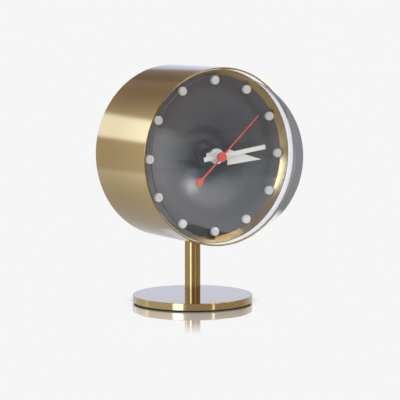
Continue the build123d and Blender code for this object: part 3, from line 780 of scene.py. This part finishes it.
# %% Second hand
second_front = span("second_hand")[2]
second_angle, second_reach, second_tail, needle_width, point_width = 47.5, 35.0, 23.4, 1.0, 0.6
second_boss, second_boss_depth, second_boss_ease = 2.8, 1.7, 0.3
drop_radius, drop_length, drop_pinch, drop_ease, drop_sides = 2.0, 6.5, 0.55, 0.1, 40
needle_low = second_front - (second_boss_depth + hand_sheet) / 2
needle_high = needle_low + hand_sheet
drop_centre = drop_radius - second_tail
shape = bmesh.new()
corners = [(-needle_width / 2, drop_centre), (needle_width / 2, drop_centre),
           (point_width / 2, second_reach), (-point_width / 2, second_reach)]
plate(shape, corners, needle_low, needle_high)
drop_shape = bmesh.new()
bmesh.ops.create_cone(drop_shape, cap_ends=True, segments=drop_sides, depth=hand_sheet + 2 * boss_step,
                      radius1=drop_radius, radius2=drop_radius,
                      matrix=Matrix.Translation((0, 0, (needle_low + needle_high) / 2)))
for vert in drop_shape.verts:
    if vert.co.y > 0:
        climb = vert.co.y / drop_radius
        vert.co.x *= 1 - drop_pinch * climb ** 2
        vert.co.y = (drop_length - drop_radius) * climb
bmesh.ops.translate(drop_shape, vec=(0, drop_centre, 0), verts=drop_shape.verts)
ease(drop_shape, drop_ease, plate_ease_steps)
boss(drop_shape, second_boss, second_boss_depth, second_front)
ease(drop_shape, second_boss_ease)
join(shape, drop_shape)
point_to(shape, second_angle)
piece("second_pointer", shape, drum_frame, [red_paint], "second", "red", "second_hand")

# %% [markdown]
# ## Lens
# The dome is thin clear acrylic. Glass that bends light would need many bounces and would shift the dial, and
# so thin a wall hardly bends it, so the wall is a transparent shader. The far flank, seen aslant from inside,
# carries a painted reflection: a grey glow that stands for the room above the table.

# %% Lens wall
painted_room_grey, acrylic_tint = (0.098, 0.108, 0.126, 1), (0.985, 0.988, 0.99, 1)
clear = Finish("clear_acrylic")
wall_place = clear.place()
wall_depth = -1 * clear.part(wall_place, "Y")
facing = clear.facing()
from_inside = clear.node("ShaderNodeNewGeometry", output="Backfacing")
above_table = clear.ramp(clear.part(wall_place, "Z"), (0.05078, 0.0), (0.05469, 0.156), (0.05859, 1.0))
beside_mouth = clear.ramp(wall_depth, (0.03516, 0.0), (0.03906, 1.0), (0.056, 1.0), (0.070, 0.0))
aslant = clear.ramp(facing, (0.30, 0.0), (0.42, 1.0))
# Painted reflection: seen aslant from inside, the far flank glows grey for the room above the table.
painted_reflection_share = above_table * beside_mouth * from_inside * aslant * (1 - path(clear, "Is Shadow Ray"))
see_through = clear.node("ShaderNodeBsdfTransparent", None, {"Color": acrylic_tint})
painted_room_glow = clear.node("ShaderNodeEmission", None, {"Color": painted_room_grey, "Strength": 1.0})
wall = clear.layer(painted_reflection_share, see_through, painted_room_glow)
print("lens wall laid out")

# %% [markdown]
# A mirror is mixed over the wall. Its share grows as the wall turns away, which lays a soft veil over the
# dial. Near the dome's foot the mirror leans forward, and on the flange it leans outward, so both look past
# the rim at the room instead of at the drum's dark mouth.

# %% Lens mirror
foot_lean, flange_lean = (0, -0.7, 0), 30
lens_gloss, flange_share = 0.05, 0.08
on_flange = clear.ramp(wall_depth, (0.03125, 1.0), (0.03516, 0.0))
near_foot = clear.ramp(wall_depth, (0.03125, 1.0), (0.03516, 0.537), (0.046, 0.0))
past_foot = clear.ramp(wall_depth, (0.03125, 0.8), (0.03516, 0.848), (0.0445, 1.0))
from_axis = clear.vector("MULTIPLY_ADD", wall_place, (flange_lean, 0, flange_lean),
                         (0, 0, -flange_lean * axis_height))
lean = clear.vector("ADD", clear.vector("MULTIPLY", foot_lean, near_foot),
                    clear.vector("MULTIPLY", from_axis, on_flange))
wall_normal = clear.node("ShaderNodeNewGeometry", output="Normal")
gloss_normal = clear.vector("NORMALIZE", clear.vector("ADD", wall_normal, lean))
gloss = clear.node("ShaderNodeBsdfGlossy", None,
                   {"Color": plain_white, "Roughness": lens_gloss, "Normal": gloss_normal})
wall_share = clear.ramp(facing, (0.0, 0.05), (0.35, 0.15)) * past_foot
mirror = (wall_share + flange_share * on_flange) * (1 - from_inside)
clear_acrylic = clear.close(clear.layer(mirror, wall, gloss))
print("lens mirror laid out")

# %% [markdown]
# The inner wall stays plain and clear, so the mirror is counted once. The edge of the flange is ground. Light
# that runs inside the wall comes out there, so it shows white inside the drum's mouth. That light could be
# traced with real glass, but a little glow of its own stands for it, and mirrors don't see its paint.

# %% Lens edge
inside = Finish("clear_inside")
clear_inside = inside.close(inside.node("ShaderNodeBsdfTransparent", None, {"Color": acrylic_tint}))

edge_deep, edge_pale, edge_glow = (0.86, 0.88, 0.93, 1), (0.92, 0.94, 0.98, 1), (0.86, 0.89, 0.97, 1)
edge_roughness, edge_swing, edge_level = 0.5, 0.2, 0.8
edge_cycles, black = (900, 900, 900), (0, 0, 0, 1)
edge = Finish("ground_edge")
edge_grain = edge.noise(edge_cycles, detail=3.0)
edge_white = edge.blend(edge_grain, edge_deep, edge_pale)
edge_colour = edge.blend(path(edge, "Is Glossy Ray"), edge_white, black)
ground_edge = edge.paint(Base_Color=edge_colour, Roughness=edge_roughness + edge_swing * edge_grain,
                         Emission_Color=edge_glow, Emission_Strength=edge_level)
print("edge finishes:", clear_inside.name, ground_edge.name)

# %% [markdown]
# The dome rises straight from its flange, then rolls over a tight flank into a flatter crown. Half a sphere
# would be too pointed or too low, so the outline is two arcs that meet without a corner. The outer and the
# inner wall follow the same two centres, which keeps the wall even.

# %% Lens outline
lens_flange_radius, lens_seat, lens_crown = span("lens")
lens_radius, lens_wall, lens_straight, lens_set_back = 48.5, 2.0, 2.4, 0.2
lens_flank_share, arc_steps, edge_inset = 0.742, 24, 0.5
lens_flange_front, lens_spring = drum_front - lens_set_back, drum_front + lens_straight
lens_rise = lens_crown - lens_spring
lens_flank = lens_flank_share * lens_radius
lens_span_square = (lens_radius ** 2 + lens_rise ** 2) / 2
crown_radius = (lens_span_square - lens_radius * lens_flank) / (lens_rise - lens_flank)
crown_centre = lens_crown - crown_radius
flank_angle = atan2(lens_spring - crown_centre, lens_radius - lens_flank)


def dome_line(shape, inset, start_height):
    """Trace the dome's wall from its straight foot over the flank to the crown; returns its lowest vertex."""
    radius = lens_radius - inset
    lowest, spring = trace(shape, [(radius, start_height), (radius, lens_spring)])
    shoulder = sweep_arc(shape, spring, (lens_radius - lens_flank, lens_spring), flank_angle, arc_steps)
    sweep_arc(shape, shoulder, (0, crown_centre), pi / 2 - flank_angle, arc_steps)
    return lowest


print("crown radius", round(crown_radius, 1), "mm")

# %% [markdown]
# The faces then take their finishes. The flange's edge is ground, what looks inward or back is plain, and the
# rest carries the mirror. The lamps leave the dome out.

# %% Lens shell
shape = bmesh.new()
edge_top = lens_flange_front - edge_inset
outer_foot = dome_line(shape, 0, lens_flange_front)
flange = trace(shape, [(lens_flange_radius, height) for height in (lens_flange_front, edge_top, lens_seat)])
shape.edges.new((outer_foot, flange[0]))
inner_foot = dome_line(shape, lens_wall, lens_seat)
shape.edges.new((flange[2], inner_foot))
turn(shape)
for face in shape.faces:
    centre = face.calc_center_median()
    if centre.xy.length > lens_flange_radius - edge_inset and centre.z < edge_top:
        face.material_index = 1
    elif face.normal.xy.dot(centre.xy) < 0 or face.normal.z < 0:
        face.material_index = 2
lens_finishes = [clear_acrylic, ground_edge, clear_inside]
dome = piece("dome_lens", shape, drum_frame, lens_finishes, "case", "clear", "lens")
lit_by_lamps.objects.link(dome)
lit_by_lamps.collection_objects[0].light_linking.link_state = "EXCLUDE"

# %% [markdown]
# ## Plain finishes
# Screws, plates, wheels and the movement keep their CAD shapes, which are right as they are. Each slot of the
# record gets a moulded, plated or painted finish, and one function with a fine grain and broader patches
# serves them all. Nut, washer and bush at the dial's centre take the dial's dark paint instead: painted shade,
# which hides them in the shadowed pit.

# %% Plain finishes
patch_grain, grain_depth, grain_swing = (60, 60, 60), 0.000006, 0.16


def plain(name, dark, light, roughness, grain=1800, metallic=0.0):
    """A moulded, plated or painted surface with a fine grain."""
    skin = Finish(name)
    grains = skin.noise((grain, grain, grain), detail=3.0)
    patches = skin.noise(patch_grain)
    tone = skin.blend(0.5 * grains + 0.5 * patches, (*dark, 1), (*light, 1))
    return skin.paint(Base_Color=tone, Metallic=metallic, Normal=skin.bump(grains, grain_depth),
                      Roughness=roughness - grain_swing / 2 + grain_swing * grains)


slot_finish = {
    "pad": plain("rubber_pad", (0.018, 0.018, 0.018), (0.03, 0.03, 0.03), 0.8),
    "steel": plain("plated_steel", (0.45, 0.45, 0.44), (0.58, 0.58, 0.56), 0.3, grain=2600, metallic=1.0),
    "black_plate": plain("black_plate", (0.020, 0.020, 0.021), (0.032, 0.032, 0.033), 0.5, grain=2400),
    "turned_brass": plain("turned_brass", (0.24, 0.17, 0.08), (0.32, 0.23, 0.11), 0.4, grain=2600,
                          metallic=1.0),
    "box": plain("black_moulding", (0.022, 0.022, 0.024), (0.036, 0.036, 0.038), 0.55, grain=2200),
    "white_moulding": plain("white_moulding", (0.72, 0.72, 0.69), (0.82, 0.82, 0.79), 0.45),
    "winding": plain("copper_winding", (0.36, 0.13, 0.05), (0.50, 0.20, 0.07), 0.3, grain=5000),
    "board": plain("green_board", (0.02, 0.12, 0.05), (0.03, 0.17, 0.07), 0.35),
    "cell": plain("cell_sleeve", (0.16, 0.17, 0.18), (0.22, 0.23, 0.25), 0.3, grain=1500),
    "brass": upright_brass,
    "pale": white_paint,
    "red": red_paint,
    "dial": dial_paint,
    "clear": clear_acrylic,
}
fixing_in_painted_shade = ("dial_nut", "dial_washer", "threaded_bush")
for part in frame["record"]["subparts"]:
    node = frame["nodes"][part["node"]]
    # Painted shade: the fixing at the dial's centre takes the dial's dark paint.
    finish = dial_paint if part["node"] in fixing_in_painted_shade else slot_finish[part["material_slot"]]
    node.data.materials.clear()
    node.data.materials.append(finish)

# %% [markdown]
# ## End
# All pieces are dressed.

# %% Finish
print("all pieces dressed")
